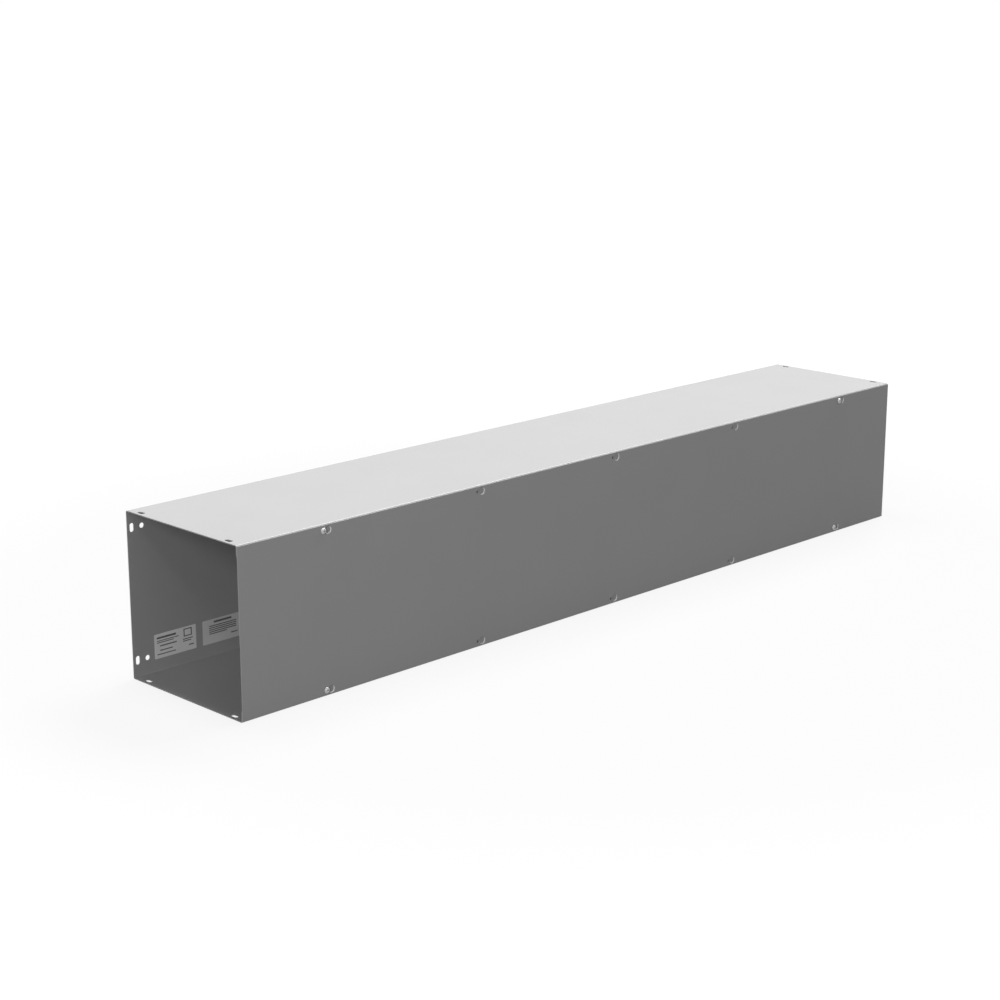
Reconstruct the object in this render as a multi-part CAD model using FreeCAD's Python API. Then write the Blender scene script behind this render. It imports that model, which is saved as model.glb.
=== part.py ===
"""Screw cover wireway: a folded sheet steel trough, open at both ends, with a flat cover screwed to it.

Sizes are in millimetres. X runs along the trough, the cover faces -Y, the wall side faces +Y and
Z is up. The origin is the middle of the trough's underside.
"""
import FreeCAD, Part
import math
import os

from FreeCAD import Vector

# Trough, one sheet folded square, with a return flange along each front edge
length = 1524.0
inside_height = 254.0
inside_depth = 254.0
sheet = 1.52
bend_radius = 1.0
flange_width = 15.9

# Joint slots beside each end of the top, bottom and back walls
slot_width = 7.1
slot_length = 13.5
slot_from_end = 7.9
slot_spacing = 203.2

# Round mounting holes in the back wall
hole_diameter = 7.9
hole_from_end = 25.4
hole_spacing = 203.2

# Cover, a flat sheet over the flanges
cover_sheet = 1.52
cover_edge_gap = 1.6

# Screw stations, a row along each long edge of the cover, evenly spread between the end ones
screw_from_end = 152.4
screw_pitch = 304.8
screw_inset = 9.5

# Cover screws, in the stations nearest the ends, with the shank as wide as the root of its thread
shank_diameter = 3.9
shank_length = 12.7
shank_chamfer = 0.6
head_diameter = 9.4
head_height = 3.4
head_side = 0.8
head_flat = 5.6
recess_span = 4.8
recess_wing = 1.3
recess_depth = 1.6

# Keyholes in the cover, which goes on over the heads and slides until the shanks lie in the slots
keyhole_run = 9.6
keyhole_head_clearance = 0.3
keyhole_shank_clearance = 0.6
keyhole_dish = 1.2

# Room round the screw's shank in the flange
thread_clearance = 0.1

# Places worked out from the sizes above
outside_height = inside_height + 2 * sheet
outside_depth = inside_depth + 2 * sheet
end_x = length / 2
back_y = outside_depth / 2
flange_y = -outside_depth / 2
cover_y = flange_y - cover_sheet
middle_z = outside_height / 2
cut_depth = 3 * max(sheet, cover_sheet)
screw_lines = {"bottom": screw_inset, "top": outside_height - screw_inset}
screw_span = length - 2 * screw_from_end
screw_count = 1 + max(1, round(screw_span / screw_pitch))
screw_step = screw_span / (screw_count - 1)
screw_stations = [-screw_span / 2 + screw_step * i for i in range(screw_count)]
screws_at = (1, screw_count)


def folded_strip(corners, thickness, radius):
    """Section of a strip folded square to its right at each corner of its outer face, as a YZ face."""
    points = [Vector(0, y, z) for y, z in corners]
    runs = [(b - a).normalize() for a, b in zip(points, points[1:])]
    inward = [Vector(0, run.z, -run.y) for run in runs]
    outer_radius = radius + thickness

    outer = []
    inner = []
    outer_start = points[0]
    inner_start = points[0] + inward[0] * thickness
    for corner, run, normal in zip(points[1:-1], runs, inward):
        centre = corner - run * outer_radius + normal * outer_radius
        bisector = (run - normal).normalize()
        for edges, start, r in ((outer, outer_start, outer_radius), (inner, inner_start, radius)):
            bend_start = centre - normal * r
            bend_end = centre + run * r
            edges.append(Part.LineSegment(start, bend_start).toShape())
            edges.append(Part.Arc(bend_start, centre + bisector * r, bend_end).toShape())
        outer_start = centre + run * outer_radius
        inner_start = centre + run * radius

    outer_tip = points[-1]
    inner_tip = points[-1] + inward[-1] * thickness
    outer.append(Part.LineSegment(outer_start, outer_tip).toShape())
    inner.append(Part.LineSegment(inner_start, inner_tip).toShape())
    tips = [
        Part.LineSegment(outer_tip, inner_tip).toShape(),
        Part.LineSegment(points[0], points[0] + inward[0] * thickness).toShape(),
    ]
    return Part.Face(Part.Wire(Part.__sortEdges__(outer + inner + tips)))


def slot_cutter(centre, along, through):
    """Obround prism with its long side along one direction, centred on a point of the wall."""
    across = along.cross(through)
    half_run = along * ((slot_length - slot_width) / 2)
    half_width = across * (slot_width / 2)
    tip = along * (slot_length / 2)
    base = centre - through * (cut_depth / 2)
    edges = [
        Part.LineSegment(base - half_run + half_width, base + half_run + half_width),
        Part.Arc(base + half_run + half_width, base + tip, base + half_run - half_width),
        Part.LineSegment(base + half_run - half_width, base - half_run - half_width),
        Part.Arc(base - half_run - half_width, base - tip, base - half_run + half_width),
    ]
    wire = Part.Wire([edge.toShape() for edge in edges])
    return Part.Face(wire).extrude(through * cut_depth)


def drill(x, y, z, diameter):
    """Cylinder along Y, centred on a point of the wall."""
    start = Vector(x, y - cut_depth / 2, z)
    return Part.makeCylinder(diameter / 2, cut_depth, start, Vector(0, 1, 0))


def end_slot_cutters():
    """Two slots across each end of the top, bottom and back walls."""
    top_mid = outside_height - sheet / 2
    bottom_mid = sheet / 2
    back_mid = back_y - sheet / 2
    cutters = []
    for end in (-1, 1):
        x = end * (end_x - slot_from_end)
        for side in (-1, 1):
            offset = side * slot_spacing / 2
            for z in (bottom_mid, top_mid):
                cutters.append(slot_cutter(Vector(x, offset, z), Vector(0, 1, 0), Vector(0, 0, 1)))
            back = Vector(x, back_mid, middle_z + offset)
            cutters.append(slot_cutter(back, Vector(0, 0, 1), Vector(0, 1, 0)))
    return cutters


def wall_hole_cutters():
    """Four round holes in the back wall."""
    cutters = []
    for end in (-1, 1):
        for side in (-1, 1):
            x = end * (end_x - hole_from_end)
            z = middle_z + side * hole_spacing / 2
            cutters.append(drill(x, back_y - sheet / 2, z, hole_diameter))
    return cutters


def make_trough():
    """C-shaped trough with its slots, wall holes and the threaded holes of its flanges."""
    section = folded_strip(
        [
            (flange_y, outside_height - flange_width),
            (flange_y, outside_height),
            (back_y, outside_height),
            (back_y, 0),
            (flange_y, 0),
            (flange_y, flange_width),
        ],
        sheet,
        bend_radius,
    )
    section.translate(Vector(-end_x, 0, 0))
    trough = section.extrude(Vector(length, 0, 0))
    thread_diameter = shank_diameter + 2 * thread_clearance
    threads = [
        drill(x, flange_y + sheet / 2, z, thread_diameter)
        for z in screw_lines.values()
        for x in screw_stations
    ]
    return trough.cut(end_slot_cutters() + wall_hole_cutters() + threads)


def keyhole_cutter(x, z):
    """Prism along Y, narrow round a screw's shank and, to its right, round and dished for the head."""
    narrow = shank_diameter / 2 + keyhole_shank_clearance
    wide = head_diameter / 2 + keyhole_head_clearance
    neck = keyhole_run - math.sqrt(wide ** 2 - narrow ** 2)
    centre = Vector(x, cover_y - cut_depth / 2, z)
    slot_low = centre - Vector(0, 0, narrow)
    slot_high = centre + Vector(0, 0, narrow)
    neck_low = slot_low + Vector(neck, 0, 0)
    neck_high = slot_high + Vector(neck, 0, 0)
    edges = [
        Part.Arc(slot_high, centre - Vector(narrow, 0, 0), slot_low),
        Part.LineSegment(slot_low, neck_low),
        Part.Arc(neck_low, centre + Vector(keyhole_run + wide, 0, 0), neck_high),
        Part.LineSegment(neck_high, slot_high),
    ]
    wire = Part.Wire([edge.toShape() for edge in edges])
    prism = Part.Face(wire).extrude(Vector(0, cut_depth, 0))
    entry = Vector(x + keyhole_run, cover_y, z)
    dish = Part.makeCone(wide + keyhole_dish, wide, keyhole_dish, entry, Vector(0, 1, 0))
    return prism.fuse(dish)


def make_cover():
    """Flat cover with a keyhole at every screw station."""
    height = outside_height - 2 * cover_edge_gap
    cover = Part.makeBox(length, cover_sheet, height, Vector(-end_x, cover_y, cover_edge_gap))
    return cover.cut([keyhole_cutter(x, z) for z in screw_lines.values() for x in screw_stations])


def make_screw():
    """Screw with a tapered head and a cross recess, its seat at the origin and its head towards +Z."""
    head_radius = head_diameter / 2
    outline = [
        Vector(0, 0, 0),
        Vector(head_radius, 0, 0),
        Vector(head_radius, 0, head_side),
        Vector(head_flat / 2, 0, head_height),
        Vector(0, 0, head_height),
        Vector(0, 0, 0),
    ]
    head = Part.Face(Part.makePolygon(outline)).revolve(Vector(0, 0, 0), Vector(0, 0, 1), 360)
    shank = Part.makeCylinder(shank_diameter / 2, shank_length, Vector(0, 0, -shank_length))
    tip = min(shank.Edges, key=lambda edge: edge.BoundBox.ZMax)
    shank = shank.makeChamfer(shank_chamfer, [tip])
    recess_floor = Vector(0, 0, head_height - recess_depth)
    wings = []
    for span_x, span_y in ((recess_span, recess_wing), (recess_wing, recess_span)):
        corner = recess_floor - Vector(span_x / 2, span_y / 2, 0)
        wings.append(Part.makeBox(span_x, span_y, 2 * recess_depth, corner))
    return head.fuse(shank).cut(wings[0].fuse(wings[1])).removeSplitter()


def place_screw(screw, x, z):
    """Copy of the screw, seated on the cover's face with its head outwards."""
    placed = screw.copy()
    placed.rotate(Vector(0, 0, 0), Vector(1, 0, 0), 90)
    placed.translate(Vector(x, cover_y, z))
    return placed


def make_pieces():
    """Every piece of the wireway by name."""
    pieces = {"trough": make_trough(), "cover": make_cover()}
    screw = make_screw()
    for row, z in screw_lines.items():
        for number in screws_at:
            pieces[f"cover_screw_{row}_{number}"] = place_screw(screw, screw_stations[number - 1], z)
    return pieces


os.makedirs("parts", exist_ok=True)
for name, shape in make_pieces().items():
    solid, = shape.Solids
    print(f"{name}: {solid.Volume:.0f} mm3, valid {solid.isValid()}")
    solid.exportStep(f"parts/{name}.step")
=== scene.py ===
"""Looks of the screw cover wireway: grey powder coat, plated screws, plain labels, stage, light, camera.

Lengths are in metres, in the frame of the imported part: X along the trough, the cover facing -Y, Z up.
"""
import math

import bmesh
import bpy
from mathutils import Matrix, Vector


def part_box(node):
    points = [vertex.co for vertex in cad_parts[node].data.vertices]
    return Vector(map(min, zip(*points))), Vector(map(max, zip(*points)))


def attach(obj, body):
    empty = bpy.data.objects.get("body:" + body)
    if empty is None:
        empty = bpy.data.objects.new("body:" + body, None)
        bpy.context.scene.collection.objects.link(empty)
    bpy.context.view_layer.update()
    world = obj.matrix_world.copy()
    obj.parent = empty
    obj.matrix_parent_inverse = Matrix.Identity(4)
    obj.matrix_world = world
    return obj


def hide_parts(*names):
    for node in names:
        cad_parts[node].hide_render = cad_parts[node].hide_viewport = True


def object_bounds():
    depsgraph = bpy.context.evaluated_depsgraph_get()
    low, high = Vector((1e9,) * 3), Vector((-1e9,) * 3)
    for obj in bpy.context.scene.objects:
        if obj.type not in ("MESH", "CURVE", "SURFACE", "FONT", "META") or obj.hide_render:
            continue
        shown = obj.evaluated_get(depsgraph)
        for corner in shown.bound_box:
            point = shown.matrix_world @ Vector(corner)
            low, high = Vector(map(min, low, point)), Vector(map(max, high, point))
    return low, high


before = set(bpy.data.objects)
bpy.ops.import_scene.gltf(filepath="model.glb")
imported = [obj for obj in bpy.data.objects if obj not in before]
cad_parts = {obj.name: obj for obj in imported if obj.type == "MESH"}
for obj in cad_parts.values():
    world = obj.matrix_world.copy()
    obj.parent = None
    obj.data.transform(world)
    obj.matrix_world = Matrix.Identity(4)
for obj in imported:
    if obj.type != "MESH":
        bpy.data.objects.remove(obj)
cad_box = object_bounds()

MM = 0.001

# Camera, from the photograph's vanishing points
EYE = Vector((-2.4296, -2.3024, 1.0491))
VIEW_DIRECTION = Vector((0.6830, 0.6830, -0.2588))
LENS_MM = 50.0
SENSOR_MM = 24.0

# Soft lights, with side lengths in metres and powers in watts; one leaves no glint
LIGHTS = {
    "overhead": {"at": (-0.2, 0.9, 6.0), "size": (1.1, 4.0), "power": 248.0, "glints": True},
    "left": {"at": (-5.0, -2.6, 2.1), "size": (2.0, 2.0), "power": 124.0, "glints": False},
    "front": {"at": (-1.2, -4.6, 3.0), "size": (2.5, 2.5), "power": 20.0, "glints": True},
    "head": {"at": (-2.6, -2.5, 2.8), "size": (0.4, 0.4), "power": 8.0, "glints": True},
    "right": {"at": (24.8, 5.0, 30.8), "size": (24.0, 15.0), "power": 16700.0, "glints": True},
}

# Levels of the surroundings
WHITE = 1.0
AMBIENT = 0.10
FLOOR_GLOW = 0.88
FLOOR_SHADE = 0.06
FLOOR_BOUNCE = 0.10

# Side of the floor, and the radii between which its glow rises to white
FLOOR_SIZE = 60.0
GLOW_NEAR_RADIUS = 0.9
GLOW_FAR_RADIUS = 2.2

# Noise patterns, as cycles for each metre and detail
CLOUDS = (9.0, 3.0)
PAINT_GRAIN = (900.0, 2.0)
ORANGE_PEEL = (420.0, 1.5)
RAGGED_RIM = (700.0, 2.0)
MOTTLE = (1600.0, 3.0)
PLATING_GRAIN = (2600.0, 2.0)
FIBRES = (2200.0, 4.0)
BLOTS = (1500.0, 3.0)

# Parts of a noise's range that a grey and a ragged rim run over
GREY_RANGE = (0.3, 0.7)
RAGGED_RANGE = (0.2, 0.8)

# Powder coat, with its clouding as a share of its grey
PAINT_GREY = 0.36
PAINT_CLOUDING = 0.015
PAINT_ROUGHNESS = 0.36
PAINT_ROUGHNESS_SPREAD = 0.04
PAINT_SPECULAR = 0.35
PEEL_STRENGTH = 0.10
PEEL_HEIGHT = 0.05 * MM
# Lighter grey of a painted highlight on the lower right rims of the keyholes' round ends, where light
# falls on them
PAINTED_HIGHLIGHT_GREY = 0.76

# Zinc plating, with the ends of its mottle as shares of its grey
PLATING_GREY = 0.55
PLATING_MOTTLE = (0.92, 1.06)
PLATING_METALLIC = 0.45
PLATING_ROUGHNESS = 0.24
PLATING_ROUGHNESS_SPREAD = 0.05

# Cover screws: round head with a cross recess, and a thread that tapers to a share of its radius
HEAD_RADIUS = 4.7 * MM
HEAD_HEIGHT = 3.4 * MM
HEAD_SIDE = 0.5 * MM
RECESS_SPAN = 5.0 * MM
RECESS_WING = 1.4 * MM
RECESS_DEPTH = 1.6 * MM
RECESS_SLOPE = 0.18 * MM
THREAD_ROOT = 1.9 * MM
THREAD_CREST = 2.35 * MM
THREAD_PITCH = 0.79 * MM
SHANK_LENGTH = 12.7 * MM
SHANK_TIP = 0.8 * MM
TIP_SHARE = 0.55
TURN_STEPS = 96
DOME_RINGS = 40
ROWS_A_TURN = 2

# Round ends of the cover's keyholes, where screw heads pass, with a painted highlight on their rims; the
# lit side of that highlight is a direction in X and Z
KEYHOLE_PITCH = 304.8 * MM
KEYHOLE_RUN = 9.6 * MM
KEYHOLE_MIDDLE = 128.52 * MM
KEYHOLE_FROM_MIDDLE = 119.02 * MM
HIGHLIGHT_RADIUS = 5.5 * MM
HIGHLIGHT_FADE = 0.5 * MM
LIT_SIDE = (0.8, -0.6)
LIT_SIDE_RANGE = (-HIGHLIGHT_RADIUS / 2, HIGHLIGHT_RADIUS / 4)

# Labels on the inside of the back wall, placed by their middles, and the thickness of that wall
LABEL_SIZE = (76.2 * MM, 38.1 * MM)
LABEL_THICKNESS = 0.15 * MM
LABEL_CORNER = 1.5 * MM
LABEL_CORNER_STEPS = 5
LABEL_FROM_END = {"left": 76.3 * MM, "right": 165.0 * MM}
LABEL_HEIGHT = 39.6 * MM
SHEET = 1.52 * MM

# Stock and ink of the labels
LABEL_GREY = {"left": 0.78, "right": 0.66}
LABEL_GREY_SPREAD = 0.02
LABEL_ROUGHNESS = 0.5
TOOTH_STRENGTH = 0.08
TOOTH_HEIGHT = 0.02 * MM
INK_THICKNESS = 0.02 * MM
INK_GREY = 0.14
INK_GREY_SPREAD = 0.03
INK_ROUGHNESS = 0.55
INK_SLOT = 1

# Plain printed bars of each label, as left, bottom, width and height in shares of its size
LABEL_BARS = {
    "left": [
        (0.06, 0.79, 0.46, 0.080), (0.06, 0.69, 0.52, 0.035), (0.06, 0.62, 0.40, 0.035),
        (0.13, 0.47, 0.40, 0.050), (0.13, 0.29, 0.30, 0.045), (0.06, 0.14, 0.44, 0.040),
        (0.68, 0.48, 0.24, 0.040), (0.68, 0.40, 0.20, 0.040), (0.82, 0.20, 0.12, 0.045),
        (0.70, 0.88, 0.20, 0.040), (0.70, 0.60, 0.20, 0.040),
        (0.70, 0.64, 0.025, 0.24), (0.875, 0.64, 0.025, 0.24),
    ],
    "right": [
        (0.28, 0.83, 0.44, 0.080), (0.16, 0.70, 0.68, 0.040), (0.16, 0.62, 0.68, 0.040),
        (0.16, 0.54, 0.68, 0.040), (0.16, 0.46, 0.68, 0.040), (0.16, 0.38, 0.44, 0.040),
        (0.70, 0.22, 0.16, 0.045),
    ],
}


def grey(level):
    """Neutral colour of one level."""
    return (level, level, level, 1)


def around(middle, spread):
    """Lowest and highest value of a spread."""
    return middle - spread, middle + spread


def new_material(name):
    """Node material with its shader and a map of the object's own coordinates."""
    material = bpy.data.materials.new(name)
    material.use_nodes = True
    tree = material.node_tree
    shader = tree.nodes["Principled BSDF"]
    coordinates = tree.nodes.new("ShaderNodeTexCoord")
    return material, tree, shader, coordinates.outputs["Object"]


def noise(tree, coordinates, pattern):
    """Noise of one pattern over the object's coordinates."""
    node = tree.nodes.new("ShaderNodeTexNoise")
    for name, value in zip(("Scale", "Detail"), pattern):
        node.inputs[name].default_value = value
    tree.links.new(coordinates, node.inputs["Vector"])
    return node.outputs["Fac"]


def remap(tree, value, low, high, from_low=0.0, from_high=1.0):
    """Value spread from one range over another."""
    node = tree.nodes.new("ShaderNodeMapRange")
    node.inputs["From Min"].default_value = from_low
    node.inputs["From Max"].default_value = from_high
    node.inputs["To Min"].default_value = low
    node.inputs["To Max"].default_value = high
    tree.links.new(value, node.inputs["Value"])
    return node.outputs["Result"]


def grey_from(tree, value, low, high):
    """Neutral colour that runs between two greys as a noise rises."""
    node = tree.nodes.new("ShaderNodeValToRGB")
    for element, position, level in zip(node.color_ramp.elements, GREY_RANGE, (low, high)):
        element.position = position
        element.color = grey(level)
    tree.links.new(value, node.inputs["Fac"])
    return node.outputs["Color"]


def bump(tree, shader, height, strength, distance):
    """Fine relief on a shader."""
    node = tree.nodes.new("ShaderNodeBump")
    node.inputs["Strength"].default_value = strength
    node.inputs["Distance"].default_value = distance
    tree.links.new(height, node.inputs["Height"])
    tree.links.new(node.outputs["Normal"], shader.inputs["Normal"])


def math_node(tree, operation, *values):
    """Result of one operation on numbers and sockets."""
    node = tree.nodes.new("ShaderNodeMath")
    node.operation = operation
    for socket, value in zip(node.inputs, values):
        if isinstance(value, (int, float)):
            socket.default_value = value
        else:
            tree.links.new(value, socket)
    return node.outputs["Value"]


def keyhole_painted_highlight(tree, coordinates):
    """1 on the lower right rims of the keyholes' round ends, where a painted highlight stands for light
    falling on them, else 0.
    """
    place = tree.nodes.new("ShaderNodeSeparateXYZ")
    tree.links.new(coordinates, place.inputs["Vector"])
    along = math_node(tree, "SUBTRACT", place.outputs["X"], KEYHOLE_RUN)
    along = math_node(tree, "WRAP", along, KEYHOLE_PITCH / 2, -KEYHOLE_PITCH / 2)
    from_middle = math_node(tree, "SUBTRACT", place.outputs["Z"], KEYHOLE_MIDDLE)
    row = math_node(tree, "MULTIPLY", math_node(tree, "SIGN", from_middle), KEYHOLE_FROM_MIDDLE)
    up = math_node(tree, "SUBTRACT", from_middle, row)
    squares = [math_node(tree, "MULTIPLY", side, side) for side in (along, up)]
    radius = math_node(tree, "SQRT", math_node(tree, "ADD", *squares))
    ragged = remap(tree, noise(tree, coordinates, RAGGED_RIM), -HIGHLIGHT_FADE, HIGHLIGHT_FADE, *RAGGED_RANGE)
    radius = math_node(tree, "ADD", radius, ragged)
    near = remap(tree, radius, 1.0, 0.0, HIGHLIGHT_RADIUS, HIGHLIGHT_RADIUS + HIGHLIGHT_FADE)
    # The painted highlight is kept to the lower right side, where light falls, and left off the shaded
    # upper side
    parts = [math_node(tree, "MULTIPLY", part, share) for part, share in zip((along, up), LIT_SIDE)]
    lit_side = remap(tree, math_node(tree, "ADD", *parts), 0.0, 1.0, *LIT_SIDE_RANGE)
    return math_node(tree, "MULTIPLY", near, lit_side)


def powder_coat(name, painted_highlight):
    """Satin grey powder coat with faint clouding and orange peel, whole or with a lighter grey painted
    highlight on the keyholes' rims.
    """
    material, tree, shader, coordinates = new_material(name)
    clouds = noise(tree, coordinates, CLOUDS)
    shades = grey_from(tree, clouds, *around(PAINT_GREY, PAINT_GREY * PAINT_CLOUDING))
    # Painted highlight: lighter grey on the keyholes' lower right rims, standing in for light falling on
    # them
    if painted_highlight:
        mix = tree.nodes.new("ShaderNodeMixRGB")
        mix.inputs["Color2"].default_value = grey(PAINTED_HIGHLIGHT_GREY)
        tree.links.new(keyhole_painted_highlight(tree, coordinates), mix.inputs["Fac"])
        tree.links.new(shades, mix.inputs["Color1"])
        shades = mix.outputs["Color"]
    tree.links.new(shades, shader.inputs["Base Color"])
    grain = noise(tree, coordinates, PAINT_GRAIN)
    gloss = remap(tree, grain, *around(PAINT_ROUGHNESS, PAINT_ROUGHNESS_SPREAD))
    tree.links.new(gloss, shader.inputs["Roughness"])
    shader.inputs["Specular IOR Level"].default_value = PAINT_SPECULAR
    bump(tree, shader, noise(tree, coordinates, ORANGE_PEEL), PEEL_STRENGTH, PEEL_HEIGHT)
    return material


def plated_steel():
    """Zinc plated steel, with a fine uneven brightness."""
    material, tree, shader, coordinates = new_material("zinc_plating")
    shader.inputs["Metallic"].default_value = PLATING_METALLIC
    levels = [PLATING_GREY * share for share in PLATING_MOTTLE]
    shades = grey_from(tree, noise(tree, coordinates, MOTTLE), *levels)
    tree.links.new(shades, shader.inputs["Base Color"])
    grain = noise(tree, coordinates, PLATING_GRAIN)
    gloss = remap(tree, grain, *around(PLATING_ROUGHNESS, PLATING_ROUGHNESS_SPREAD))
    tree.links.new(gloss, shader.inputs["Roughness"])
    return material


def label_stock(side):
    """Off-white vinyl stock of one label, with a faint tooth."""
    material, tree, shader, coordinates = new_material(f"label_vinyl_{side}")
    fibres = noise(tree, coordinates, FIBRES)
    shades = grey_from(tree, fibres, *around(LABEL_GREY[side], LABEL_GREY_SPREAD))
    tree.links.new(shades, shader.inputs["Base Color"])
    shader.inputs["Roughness"].default_value = LABEL_ROUGHNESS
    bump(tree, shader, fibres, TOOTH_STRENGTH, TOOTH_HEIGHT)
    return material


def label_ink():
    """Dark printing ink, a little uneven."""
    material, tree, shader, coordinates = new_material("label_ink")
    shades = grey_from(tree, noise(tree, coordinates, BLOTS), *around(INK_GREY, INK_GREY_SPREAD))
    tree.links.new(shades, shader.inputs["Base Color"])
    shader.inputs["Roughness"].default_value = INK_ROUGHNESS
    return material


def give(obj, material):
    """Puts one material on an object in place of what it has."""
    obj.data.materials.clear()
    obj.data.materials.append(material)


def new_object(name, data):
    """Object for a mesh, lamp or camera, linked into the scene."""
    obj = bpy.data.objects.new(name, data)
    bpy.context.scene.collection.objects.link(obj)
    return obj


def mesh_from(name, build):
    """Mesh with what a function draws in it."""
    mesh = bpy.data.meshes.new(name)
    work = bmesh.new()
    build(work)
    bmesh.ops.recalc_face_normals(work, faces=work.faces)
    work.to_mesh(mesh)
    work.free()
    return mesh


def add_box(work, size, centre):
    """Closed box in a mesh, and its faces."""
    made = bmesh.ops.create_cube(work, size=1.0)["verts"]
    bmesh.ops.scale(work, vec=size, verts=made)
    bmesh.ops.translate(work, vec=centre, verts=made)
    return {face for vert in made for face in vert.link_faces}


def rounded_outline(width, height):
    """Points in X and Z round a label with rounded corners."""
    points = []
    for quarter, (side_x, side_z) in enumerate(((1, 1), (-1, 1), (-1, -1), (1, -1))):
        for i in range(LABEL_CORNER_STEPS + 1):
            turn = math.pi / 2 * (quarter + i / LABEL_CORNER_STEPS)
            x = side_x * (width / 2 - LABEL_CORNER) + LABEL_CORNER * math.cos(turn)
            z = side_z * (height / 2 - LABEL_CORNER) + LABEL_CORNER * math.sin(turn)
            points.append((x, z))
    return points


def label(side, stock, ink):
    """Thin sticker with rounded corners and plain printed bars, on the inside of the back wall."""
    width, height = LABEL_SIZE

    def build(work):
        outline = rounded_outline(width, height)
        back, front = [[work.verts.new((x, y, z)) for x, z in outline] for y in (0, -LABEL_THICKNESS)]
        work.faces.new(back)
        work.faces.new(front)
        for wall in zip(back, back[1:] + back[:1], front[1:] + front[:1], front):
            work.faces.new(wall)
        for left, bottom, wide, tall in LABEL_BARS[side]:
            size = (wide * width, INK_THICKNESS, tall * height)
            x = (left + wide / 2) * width - width / 2
            z = (bottom + tall / 2) * height - height / 2
            for face in add_box(work, size, (x, -LABEL_THICKNESS - INK_THICKNESS / 2, z)):
                face.material_index = INK_SLOT

    name = f"label_{side}"
    obj = new_object(name, mesh_from(name, build))
    trough_low, trough_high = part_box("trough")
    obj.location = (trough_low.x + LABEL_FROM_END[side], trough_high.y - SHEET, LABEL_HEIGHT)
    for material in (stock, ink):
        obj.data.materials.append(material)
    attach(obj, "root")


def recess_share(x, z):
    """How far into the cross recess a point of the head lies, from 0 on the crown to 1 on its floor."""
    def inside(along, across):
        ends = ((RECESS_SPAN + RECESS_SLOPE) / 2 - abs(along)) / RECESS_SLOPE
        sides = ((RECESS_WING + RECESS_SLOPE) / 2 - abs(across)) / RECESS_SLOPE
        return max(0.0, min(1.0, ends, sides))

    return max(inside(x, z), inside(z, x))


def dome(work):
    """Round head on its seat, crowned along -Y, with a cross recess sunk into it."""
    rings = []
    for i in range(1, DOME_RINGS + 1):
        slope = math.pi / 2 * i / DOME_RINGS
        radius = HEAD_RADIUS * math.sin(slope)
        height = HEAD_SIDE + (HEAD_HEIGHT - HEAD_SIDE) * math.cos(slope)
        ring = []
        for j in range(TURN_STEPS):
            turn = 2 * math.pi * j / TURN_STEPS
            x = radius * math.cos(turn)
            z = radius * math.sin(turn)
            ring.append(work.verts.new((x, RECESS_DEPTH * recess_share(x, z) - height, z)))
        rings.append(ring)
    rings.append([work.verts.new((v.co.x, 0, v.co.z)) for v in rings[-1]])
    top = work.verts.new((0, RECESS_DEPTH - HEAD_HEIGHT, 0))
    for j in range(TURN_STEPS):
        k = (j + 1) % TURN_STEPS
        work.faces.new((top, rings[0][j], rings[0][k]))
        for inner, outer in zip(rings, rings[1:]):
            work.faces.new((inner[j], outer[j], outer[k], inner[k]))
    work.faces.new(rings[-1])


def thread(work):
    """Shank along +Y with a helical thread, closed under the head and by a short tip."""
    rows = ROWS_A_TURN * (round(SHANK_LENGTH / THREAD_PITCH) - 1)
    strips = rows - ROWS_A_TURN - 1
    grid = []
    for i in range(rows):
        radius = THREAD_CREST if i % ROWS_A_TURN else THREAD_ROOT
        row = []
        for j in range(TURN_STEPS):
            share = j / TURN_STEPS
            turn = 2 * math.pi * share
            depth = THREAD_PITCH * (i / ROWS_A_TURN + share)
            taper = TIP_SHARE + (1 - TIP_SHARE) * (SHANK_LENGTH - depth) / SHANK_TIP
            reach = radius * min(1.0, taper)
            row.append(work.verts.new((reach * math.cos(turn), depth, reach * math.sin(turn))))
        grid.append(row)
    for i in range(strips):
        for j in range(TURN_STEPS):
            wraps = j + 1 == TURN_STEPS
            k = 0 if wraps else j + 1
            row = i + ROWS_A_TURN if wraps else i
            work.faces.new((grid[i][j], grid[row][k], grid[row + 1][k], grid[i + 1][j]))
    for i, depth in ((0, 0.0), (strips, SHANK_LENGTH)):
        centre = work.verts.new((0, depth, 0))
        step = [grid[i + down][0] for down in range(ROWS_A_TURN + 1)]
        rim = grid[i] + step[-1:]
        for a, b in zip(rim, rim[1:]):
            work.faces.new((a, b, centre))
        work.faces.new(step + [centre])
    bmesh.ops.delete(work, geom=[v for v in work.verts if not v.link_faces], context="VERTS")


def screw(node, material):
    """Finished screw that stands for one plain screw of the frame."""
    def build(work):
        dome(work)
        thread(work)

    name = f"{node}_finished"
    mesh = mesh_from(name, build)
    for face in mesh.polygons:
        face.use_smooth = True
    obj = new_object(name, mesh)
    low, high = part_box(node)
    obj.location = ((low.x + high.x) / 2, low.y + HEAD_HEIGHT, (low.z + high.z) / 2)
    give(obj, material)
    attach(obj, "root")
    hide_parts(node)


def by_ray(tree, unseen, seen):
    """One shader for what is seen straight, in a reflection or through glass, and one for other light."""
    path = tree.nodes.new("ShaderNodeLightPath")
    direct = path.outputs["Is Camera Ray"]
    for name in ("Is Glossy Ray", "Is Transmission Ray"):
        direct = math_node(tree, "MAXIMUM", direct, path.outputs[name])
    mix = tree.nodes.new("ShaderNodeMixShader")
    tree.links.new(direct, mix.inputs["Fac"])
    tree.links.new(unseen, mix.inputs[1])
    tree.links.new(seen, mix.inputs[2])
    return mix.outputs["Shader"]


def matt(tree, level):
    """Plain matt shader of one grey."""
    node = tree.nodes.new("ShaderNodeBsdfDiffuse")
    node.inputs["Color"].default_value = grey(level)
    return node.outputs["BSDF"]


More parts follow.
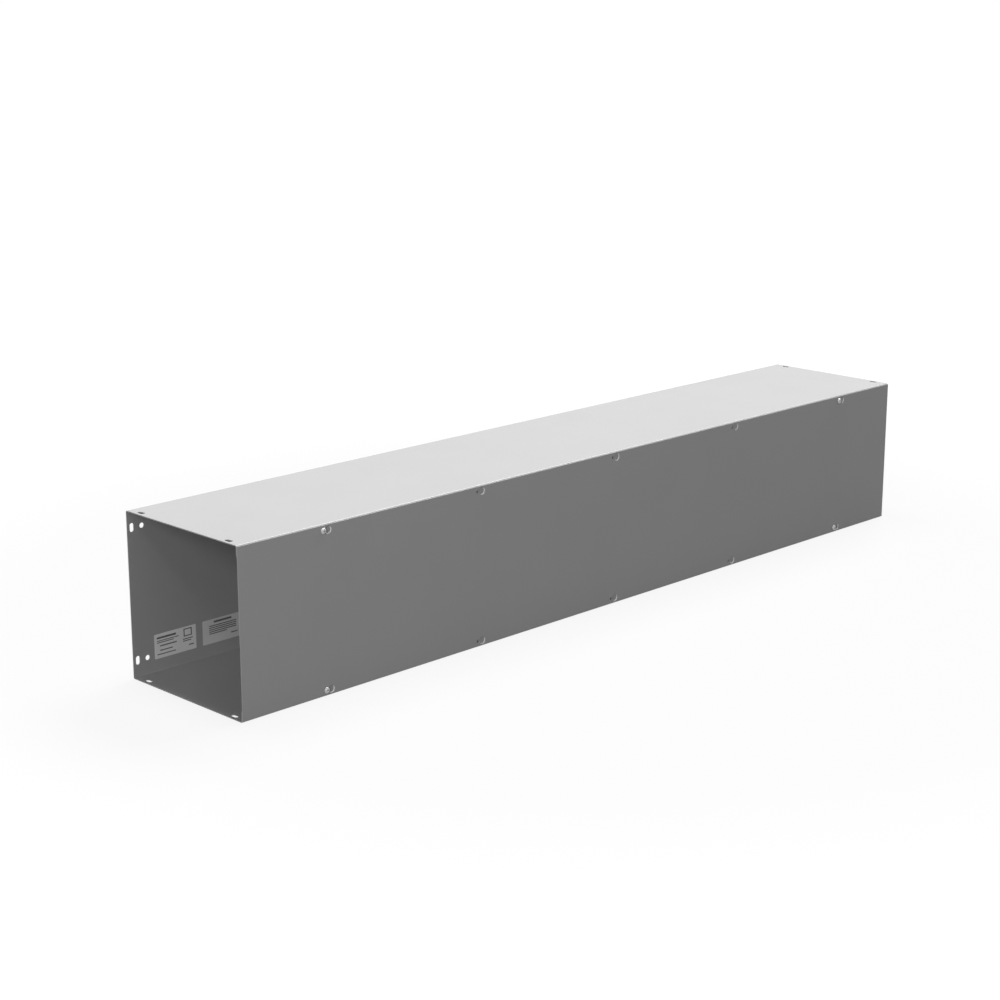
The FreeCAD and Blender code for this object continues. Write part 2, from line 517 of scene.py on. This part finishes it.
def floor_material():
    """Floor that shows white with a soft shadow, and throws little light back at the object."""
    material = bpy.data.materials.new("studio_floor")
    material.use_nodes = True
    material.cycles.emission_sampling = "NONE"
    tree = material.node_tree
    tree.nodes.clear()
    coordinates = tree.nodes.new("ShaderNodeTexCoord")
    distance = tree.nodes.new("ShaderNodeVectorMath")
    distance.operation = "LENGTH"
    tree.links.new(coordinates.outputs["Object"], distance.inputs[0])
    reach = distance.outputs["Value"]
    strength = remap(tree, reach, FLOOR_GLOW, WHITE, GLOW_NEAR_RADIUS, GLOW_FAR_RADIUS)
    glow = tree.nodes.new("ShaderNodeEmission")
    tree.links.new(strength, glow.inputs["Strength"])
    shown = tree.nodes.new("ShaderNodeAddShader")
    tree.links.new(glow.outputs["Emission"], shown.inputs[0])
    tree.links.new(matt(tree, FLOOR_SHADE), shown.inputs[1])
    out = tree.nodes.new("ShaderNodeOutputMaterial")
    surface = by_ray(tree, matt(tree, FLOOR_BOUNCE), shown.outputs["Shader"])
    tree.links.new(surface, out.inputs["Surface"])
    return material


def make_floor():
    """Wide floor under the part."""
    def build(work):
        bmesh.ops.create_grid(work, x_segments=1, y_segments=1, size=FLOOR_SIZE / 2)

    floor = new_object("floor", mesh_from("floor", build))
    floor.location.z = cad_box[0].z
    give(floor, floor_material())


def make_world():
    """White surroundings for the camera and reflections, and a dimmer even light on the part."""
    world = bpy.data.worlds.new("studio")
    bpy.context.scene.world = world
    world.use_nodes = True
    tree = world.node_tree
    shown = tree.nodes["Background"]
    light = tree.nodes.new("ShaderNodeBackground")
    for node, strength in ((shown, WHITE), (light, AMBIENT)):
        node.inputs["Color"].default_value = grey(WHITE)
        node.inputs["Strength"].default_value = strength
    surface = by_ray(tree, light.outputs["Background"], shown.outputs["Background"])
    tree.links.new(surface, tree.nodes["World Output"].inputs["Surface"])


def soft_box(name, at, size, power, glints):
    """Soft light of two side lengths that faces the middle of the part."""
    lamp = bpy.data.lights.new(name, "AREA")
    lamp.shape = "RECTANGLE"
    lamp.size, lamp.size_y = size
    lamp.energy = power
    obj = new_object(name, lamp)
    obj.location = at
    middle = (cad_box[0] + cad_box[1]) / 2
    obj.rotation_euler = (middle - Vector(at)).to_track_quat("-Z", "Y").to_euler()
    obj.visible_glossy = glints


def make_camera():
    """Camera at the photograph's place and angle."""
    camera = bpy.data.cameras.new("camera")
    camera.lens = LENS_MM
    camera.sensor_width = SENSOR_MM
    camera.clip_end = 2 * FLOOR_SIZE
    obj = new_object("camera", camera)
    obj.location = EYE
    obj.rotation_euler = VIEW_DIRECTION.to_track_quat("-Z", "Y").to_euler()
    bpy.context.scene.camera = obj


give(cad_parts["trough"], powder_coat("grey_powder_coat", painted_highlight=False))
# The cover's coat carries a painted highlight on the keyholes' rims
give(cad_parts["cover"], powder_coat("grey_powder_coat_painted_highlight", painted_highlight=True))
plating = plated_steel()
for name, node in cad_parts.items():
    if name.startswith("cover_screw"):
        give(node, plating)
        screw(name, plating)

ink = label_ink()
for side in LABEL_FROM_END:
    label(side, label_stock(side), ink)

make_floor()
make_world()
for name, light in LIGHTS.items():
    soft_box(name, **light)
make_camera()
bpy.context.scene.view_settings.view_transform = "Standard"
